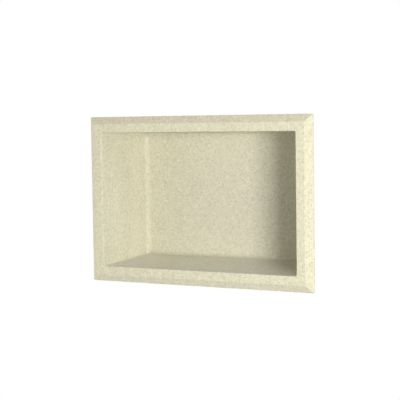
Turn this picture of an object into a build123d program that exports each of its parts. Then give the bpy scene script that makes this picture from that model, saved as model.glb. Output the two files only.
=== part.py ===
import os
from math import cos, radians, tan

from build123d import *

# One-piece recessed shower shelf, moulded from a mineral-filled resin: a flat flange
# that lies on the finished wall, and a tapered box that stands in the wall behind it.
# The wall's surface is the plane Y = 0, the mouth faces -Y and the shelf's floor is
# the lower side of the box. All sizes are in millimetres.

# Flange outline, and the one thickness that the flange and the box share
flange_width = 280.0
flange_height = 190.0
shell = 7.0

# Bevel that falls from the flange's face to a thin rim at the wall
bevel_width = 8.0
rim_thickness = 1.0
rim_corner_radius = 2.5
rim_edge_radius = 0.4
face_edge_radius = 0.7

# Recess: its border on the face, its depth from the face, the taper of its floor and
# sides, which makes the floor drain towards the front, and the smaller one of its ceiling
border = 18.0
recess_depth = 90.0
taper = 3.5
ceiling_taper = 1.0
mouth_edge_radius = 1.0

# Radii inside the recess: its four corners, and the wider cove round its back wall
corner_radius = 2.0
cove_radius = 5.0

# Radius at the root of the box, where it meets the back of the flange
root_radius = 1.0

# Sizes that follow from those above
mouth_width = flange_width - 2 * border
mouth_height = flange_height - 2 * border
box_start = shell - rim_thickness


def skin_offset(angle):
    """How far the box stands out from the mouth, at the rim, on a side with this taper."""
    return shell / cos(radians(angle)) - box_start * tan(radians(angle))


box_width = mouth_width + 2 * skin_offset(taper)
box_top = mouth_height / 2 + skin_offset(ceiling_taper)
box_bottom = -mouth_height / 2 - skin_offset(taper)

wall_plane = Plane.XZ
rim_plane = wall_plane.offset(rim_thickness)
face_plane = wall_plane.offset(shell)


def taper_sides(block, neutral_plane):
    """Tapers the floor and the two sides of a block, and then its ceiling."""
    sides = block.faces().filter_by(Axis.Y, reverse=True).sort_by(Axis.Z)
    draft(sides[:-1], neutral_plane=neutral_plane, angle=-taper)
    ceiling = block.faces().filter_by(Axis.Z).sort_by(Axis.Z)[-1]
    draft(ceiling, neutral_plane=neutral_plane, angle=-ceiling_taper)


with BuildPart() as recessed_shelf:
    # Flange: a plate bevelled to a thin rim, mitred at its rounded corners
    with BuildSketch(wall_plane):
        Rectangle(flange_width, flange_height)
    extrude(amount=shell)
    face = recessed_shelf.faces().sort_by(Axis.Y)[0]
    chamfer(face.edges(), length=bevel_width, length2=shell - rim_thickness, reference=face)
    with BuildSketch(wall_plane):
        RectangleRounded(flange_width, flange_height, rim_corner_radius)
    extrude(amount=shell, mode=Mode.INTERSECT)
    rim_front, rim_back = -rim_thickness - rim_edge_radius, -rim_thickness + rim_edge_radius
    rim_edges = recessed_shelf.edges().filter_by_position(Axis.Y, rim_front, rim_back)
    fillet(rim_edges, radius=rim_edge_radius)

    # Box: the recess's tapered sides and rounded corners, one thickness further out
    with BuildPart() as box:
        with BuildSketch(rim_plane):
            with Locations((0, (box_top + box_bottom) / 2)):
                Rectangle(box_width, box_top - box_bottom)
        extrude(amount=-(recess_depth + shell - box_start))
        taper_sides(box, rim_plane)
        fillet(box.edges().group_by(Axis.Y)[1], radius=corner_radius + shell)
        fillet(box.edges().group_by(Axis.Y)[-1], radius=cove_radius + shell)
    flange_back = recessed_shelf.faces().filter_by(Plane.XZ).sort_by(Axis.Y)[1]
    fillet(flange_back.inner_wires()[0].edges(), radius=root_radius)

    # Recess: cut in from the flange's face
    with BuildPart(mode=Mode.SUBTRACT) as recess:
        with BuildSketch(face_plane):
            Rectangle(mouth_width, mouth_height)
        extrude(amount=-recess_depth)
        taper_sides(recess, face_plane)
        fillet(recess.edges().group_by(Axis.Y)[1], radius=corner_radius)
        fillet(recess.edges().group_by(Axis.Y)[-1], radius=cove_radius)

    # Eased edges round the mouth and along the top of the bevel
    face = recessed_shelf.faces().sort_by(Axis.Y)[0]
    fillet(face.inner_wires()[0].edges(), radius=mouth_edge_radius)
    face = recessed_shelf.faces().sort_by(Axis.Y)[0]
    fillet(face.outer_wire().edges(), radius=face_edge_radius)

recessed_shelf.part.label = "recessed_shelf"

os.makedirs("parts", exist_ok=True)
export_step(recessed_shelf.part, "parts/recessed_shelf.step")
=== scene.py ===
import math

import bpy
from mathutils import Matrix, Vector


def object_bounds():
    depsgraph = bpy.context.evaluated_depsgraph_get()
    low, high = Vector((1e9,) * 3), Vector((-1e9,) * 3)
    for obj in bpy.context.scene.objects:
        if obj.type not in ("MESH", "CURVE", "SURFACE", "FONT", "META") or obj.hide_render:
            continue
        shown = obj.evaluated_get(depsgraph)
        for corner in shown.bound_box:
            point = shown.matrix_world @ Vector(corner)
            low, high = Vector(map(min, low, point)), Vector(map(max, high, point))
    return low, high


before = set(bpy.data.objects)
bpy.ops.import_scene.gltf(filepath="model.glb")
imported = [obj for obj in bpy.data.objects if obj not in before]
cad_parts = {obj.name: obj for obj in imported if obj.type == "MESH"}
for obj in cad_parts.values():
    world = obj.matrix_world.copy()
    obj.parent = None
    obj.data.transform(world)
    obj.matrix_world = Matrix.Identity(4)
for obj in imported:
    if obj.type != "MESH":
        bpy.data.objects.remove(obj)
cad_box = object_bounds()
scene = bpy.context.scene
scene.view_settings.view_transform = "Standard"


# Small helpers for node trees

def new_tree(name):
    """A new material with an empty node tree; gives both."""
    material = bpy.data.materials.new(name)
    material.use_nodes = True
    material.node_tree.nodes.clear()
    return material, material.node_tree


def set_surface(tree, shader):
    """Links a shader's output socket to the material's surface."""
    tree.links.new(shader, tree.nodes.new("ShaderNodeOutputMaterial").inputs["Surface"])


def math_node(tree, operation, a, b, clamp=False):
    """A Math node on two sockets or numbers; gives its output socket."""
    node = tree.nodes.new("ShaderNodeMath")
    node.operation = operation
    node.use_clamp = clamp
    for socket, value in zip(node.inputs, (a, b)):
        if isinstance(value, float):
            socket.default_value = value
        else:
            tree.links.new(value, socket)
    return node.outputs[0]


def ramp(tree, source, low, high):
    """Maps low..high on a socket to 0..1, with a smooth step."""
    node = tree.nodes.new("ShaderNodeMapRange")
    node.interpolation_type = "SMOOTHSTEP"
    node.inputs["From Min"].default_value = low
    node.inputs["From Max"].default_value = high
    tree.links.new(source, node.inputs["Value"])
    return node.outputs["Result"]


def mix(tree, factor, a, b, blend="MIX"):
    """Mixes two colours, each a socket or an RGB tuple, by a factor socket."""
    node = tree.nodes.new("ShaderNodeMix")
    node.data_type = "RGBA"
    node.blend_type = blend
    tree.links.new(factor, node.inputs["Factor"])
    for name, value in (("A", a), ("B", b)):
        socket = next(s for s in node.inputs if s.name == name and s.type == "RGBA")
        if isinstance(value, tuple):
            socket.default_value = (*value, 1.0)
        else:
            tree.links.new(value, socket)
    return next(s for s in node.outputs if s.type == "RGBA")


# The moulded resin: a cream matrix with small grains of darker and paler mineral in it

cream = (0.757, 0.718, 0.521)
shade = (0.723, 0.684, 0.491)
sand = (0.644, 0.603, 0.428)
chalk = (0.819, 0.782, 0.587)
matrix_roughness = 0.25
grain_roughness = 0.20
# Painted shade: the next two tints stand in for the light in the recess and on its floor, not for the
# resin's own colour
recess_painted_shade = (0.970, 0.980, 1.055)
floor_painted_shade = (0.968, 0.976, 1.075)
mouth_middle = (0.0, -0.005, 0.0)


def resin_material():
    material, tree = new_tree("speckled_resin")
    resin = tree.nodes.new("ShaderNodeBsdfPrincipled")
    resin.inputs["IOR"].default_value = 1.5
    resin.inputs["Specular IOR Level"].default_value = 0.3
    set_surface(tree, resin.outputs["BSDF"])
    surface = tree.nodes.new("ShaderNodeTexCoord").outputs
    place = surface["Object"]

    def vector_math(operation, a, b):
        """A Vector Math node on a socket and a second socket or tuple; gives its outputs."""
        node = tree.nodes.new("ShaderNodeVectorMath")
        node.operation = operation
        tree.links.new(a, node.inputs[0])
        if isinstance(b, tuple):
            node.inputs[1].default_value = b
        else:
            tree.links.new(b, node.inputs[1])
        return node.outputs

    def along(vector, axis):
        """One component of a vector socket."""
        node = tree.nodes.new("ShaderNodeSeparateXYZ")
        tree.links.new(vector, node.inputs[0])
        return node.outputs[axis]

    def noise(scale, detail):
        node = tree.nodes.new("ShaderNodeTexNoise")
        node.inputs["Scale"].default_value = scale
        node.inputs["Detail"].default_value = detail
        node.inputs["Roughness"].default_value = 0.55
        tree.links.new(place, node.inputs["Vector"])
        return node.outputs["Fac"]

    def grains(scale, size, share, seed):
        """A mask of soft round grains: cells of 1/scale metres, of which a share hold a grain."""
        shifted = vector_math("ADD", place, (seed, seed * 0.37, -seed * 0.61))["Vector"]
        cells = tree.nodes.new("ShaderNodeTexVoronoi")
        cells.feature = "F1"
        cells.inputs["Scale"].default_value = scale
        tree.links.new(shifted, cells.inputs["Vector"])
        chance = tree.nodes.new("ShaderNodeSeparateColor")
        tree.links.new(cells.outputs["Color"], chance.inputs["Color"])
        near = ramp(tree, cells.outputs["Distance"], size, size * 0.5)
        picked = ramp(tree, chance.outputs[0], 1.0 - share, 1.0 - share * 0.6)
        return math_node(tree, "MULTIPLY", near, picked)

    dark = grains(scale=440.0, size=0.66, share=0.42, seed=0.53)
    light = grains(scale=400.0, size=0.66, share=0.42, seed=0.11)
    clouds = ramp(tree, noise(scale=290.0, detail=3.0), 0.35, 0.65)
    colour = mix(tree, clouds, shade, cream)
    colour = mix(tree, light, colour, chalk)
    colour = mix(tree, dark, colour, sand)

    # Painted shade: the recess looks a little greyer than the face, and its floor greyer still, so
    # both are tinted greyer and cooler, standing in for how light falls in the recess. Only the faces
    # that look towards the middle of the mouth take it, not the box's outside.
    from_mouth = vector_math("SUBTRACT", place, mouth_middle)["Vector"]
    away = vector_math("DOT_PRODUCT", from_mouth, surface["Normal"])["Value"]
    painted_recess_mask = ramp(tree, away, 0.0, -0.02)
    level = ramp(tree, along(surface["Normal"], "Z"), 0.7, 0.95)
    painted_floor_mask = math_node(tree, "MULTIPLY", painted_recess_mask, level)
    colour = mix(tree, painted_recess_mask, colour, recess_painted_shade, blend="MULTIPLY")
    colour = mix(tree, painted_floor_mask, colour, floor_painted_shade, blend="MULTIPLY")
    tree.links.new(colour, resin.inputs["Base Color"])

    # Glossy skin: the grains are a little smoother than the matrix, over a faint orange peel
    rough = tree.nodes.new("ShaderNodeMapRange")
    rough.inputs["To Min"].default_value = matrix_roughness
    rough.inputs["To Max"].default_value = grain_roughness
    tree.links.new(math_node(tree, "MAXIMUM", dark, light), rough.inputs["Value"])
    tree.links.new(rough.outputs["Result"], resin.inputs["Roughness"])
    peel = tree.nodes.new("ShaderNodeBump")
    peel.inputs["Strength"].default_value = 0.06
    peel.inputs["Distance"].default_value = 0.0002
    tree.links.new(noise(scale=420.0, detail=2.0), peel.inputs["Height"])
    tree.links.new(peel.outputs["Normal"], resin.inputs["Normal"])
    return material


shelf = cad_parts["recessed_shelf"]
shelf.data.materials.clear()
shelf.data.materials.append(resin_material())


# Stage: a plain white wall with a cut-out for the box, and a pale floor well below

flange_overlap = 0.008
wall_half = 2.0
wall_y = 0.0003
floor_half = 6.0
floor_z = -1.2
floor_grey = (0.6, 0.6, 0.6, 1.0)
floor_glow = 0.88


def seen_directly(tree):
    """1 for camera, glossy and transmission rays, 0 for light that bounces on."""
    path = tree.nodes.new("ShaderNodeLightPath")
    either = math_node(tree, "ADD", path.outputs["Is Camera Ray"], path.outputs["Is Glossy Ray"])
    return math_node(tree, "ADD", either, path.outputs["Is Transmission Ray"], clamp=True)


def wall_material():
    """White from the front and clear from behind, so that the box can be seen from the back."""
    material, tree = new_tree("white_wall")
    white = tree.nodes.new("ShaderNodeEmission")
    clear = tree.nodes.new("ShaderNodeBsdfTransparent")
    by_side = tree.nodes.new("ShaderNodeMixShader")
    side = tree.nodes.new("ShaderNodeNewGeometry")
    tree.links.new(side.outputs["Backfacing"], by_side.inputs[0])
    tree.links.new(white.outputs[0], by_side.inputs[1])
    tree.links.new(clear.outputs[0], by_side.inputs[2])
    set_surface(tree, by_side.outputs[0])
    return material


def floor_material():
    """Pale and matt; its own glow lifts it to white where nothing shades it."""
    material, tree = new_tree("pale_floor")
    matt = tree.nodes.new("ShaderNodeBsdfDiffuse")
    matt.inputs["Color"].default_value = floor_grey
    glow = tree.nodes.new("ShaderNodeEmission")
    strength = math_node(tree, "MULTIPLY", seen_directly(tree), floor_glow)
    tree.links.new(strength, glow.inputs["Strength"])
    both = tree.nodes.new("ShaderNodeAddShader")
    tree.links.new(matt.outputs[0], both.inputs[0])
    tree.links.new(glow.outputs[0], both.inputs[1])
    set_surface(tree, both.outputs[0])
    return material


def plate(name, corners, faces, material):
    """A flat stage piece from its corners."""
    mesh = bpy.data.meshes.new(name)
    mesh.from_pydata(corners, [], faces)
    mesh.materials.append(material)
    obj = bpy.data.objects.new(name, mesh)
    scene.collection.objects.link(obj)
    return obj


def wall_ring(half_x, half_z):
    """The corners of an upright rectangle in the wall's plane."""
    return [(x * half_x, wall_y, z * half_z) for x, z in ((-1, -1), (1, -1), (1, 1), (-1, 1))]


flange_right, _, flange_top = cad_box[1]
cutout = wall_ring(flange_right - flange_overlap, flange_top - flange_overlap)
sides = [(0, 1, 5, 4), (1, 2, 6, 5), (2, 3, 7, 6), (3, 0, 4, 7)]
wall = plate("wall", wall_ring(wall_half, wall_half) + cutout, sides, wall_material())
for rays in ("diffuse", "glossy", "transmission", "shadow", "volume_scatter"):
    setattr(wall, "visible_" + rays, False)

floor_corners = [
    (x * floor_half, y * floor_half, floor_z) for x, y in ((-1, -1), (1, -1), (1, 1), (-1, 1))
]
plate("floor", floor_corners, [(0, 1, 2, 3)], floor_material())


# Light: soft lamps round the shelf and an even, dim surround

surround_strength = 0.211


def lamp(name, azimuth, elevation, distance, width, height, power):
    """An area lamp that faces the shelf; azimuth 0 is straight in front of it and 90 to its right.

    Reflections don't show the lamp itself, only the white surround.
    """
    data = bpy.data.lights.new(name, "AREA")
    data.shape = "RECTANGLE"
    data.size, data.size_y = width, height
    data.energy = power
    obj = bpy.data.objects.new(name, data)
    a, e = math.radians(azimuth), math.radians(elevation)
    outward = Vector((math.sin(a) * math.cos(e), -math.cos(a) * math.cos(e), math.sin(e)))
    obj.location = outward * distance
    obj.rotation_mode = "QUATERNION"
    obj.rotation_quaternion = (-outward).to_track_quat("-Z", "Y")
    obj.visible_glossy = False
    scene.collection.objects.link(obj)


lamp("key", azimuth=44.0, elevation=0.0, distance=1.6, width=0.40, height=0.45, power=21.3)
lamp("fill", azimuth=-40.0, elevation=0.0, distance=3.0, width=0.80, height=0.80, power=6.2)
lamp("left", azimuth=-85.0, elevation=0.0, distance=3.0, width=0.80, height=0.80, power=45.0)
lamp("top", azimuth=50.0, elevation=50.0, distance=3.0, width=0.80, height=0.80, power=11.5)
lamp("back", azimuth=205.0, elevation=20.0, distance=1.2, width=0.50, height=0.50, power=6.0)


def surround_world():
    """White where it is seen or mirrored, and dim as a light."""
    world = bpy.data.worlds.new("surround")
    world.use_nodes = True
    tree = world.node_tree
    tree.nodes.clear()
    dim = tree.nodes.new("ShaderNodeBackground")
    dim.inputs["Color"].default_value = (1.0, 1.0, 1.0, 1.0)
    dim.inputs["Strength"].default_value = surround_strength
    white = tree.nodes.new("ShaderNodeBackground")
    white.inputs["Color"].default_value = (1.0, 1.0, 1.0, 1.0)
    choose = tree.nodes.new("ShaderNodeMixShader")
    tree.links.new(seen_directly(tree), choose.inputs[0])
    tree.links.new(dim.outputs[0], choose.inputs[1])
    tree.links.new(white.outputs[0], choose.inputs[2])
    tree.links.new(choose.outputs[0], tree.nodes.new("ShaderNodeOutputWorld").inputs["Surface"])
    return world


scene.world = surround_world()


# Camera at the photograph's angle: a long lens, to the right of the shelf and a little above it

yaw, pitch, roll = (math.radians(v) for v in (28.893, 3.823, -0.842))
camera_place = (0.64550, -1.16496, 0.09037)
picture_width = 400.0
focal_length = 1202.77
sensor_width = 36.0

camera_data = bpy.data.cameras.new("camera")
camera_data.sensor_width = sensor_width
camera_data.lens = sensor_width * focal_length / picture_width
camera = bpy.data.objects.new("camera", camera_data)
forward = Vector((-math.sin(yaw) * math.cos(pitch), math.cos(yaw) * math.cos(pitch), -math.sin(pitch)))
right = Vector((math.cos(yaw), math.sin(yaw), 0.0))
up = right.cross(forward)
tilted_right = right * math.cos(roll) + up * math.sin(roll)
tilted_up = up * math.cos(roll) - right * math.sin(roll)
turn = Matrix((tilted_right, tilted_up, -forward)).transposed()
camera.matrix_world = Matrix.Translation(camera_place) @ turn.to_4x4()
scene.collection.objects.link(camera)
scene.camera = camera
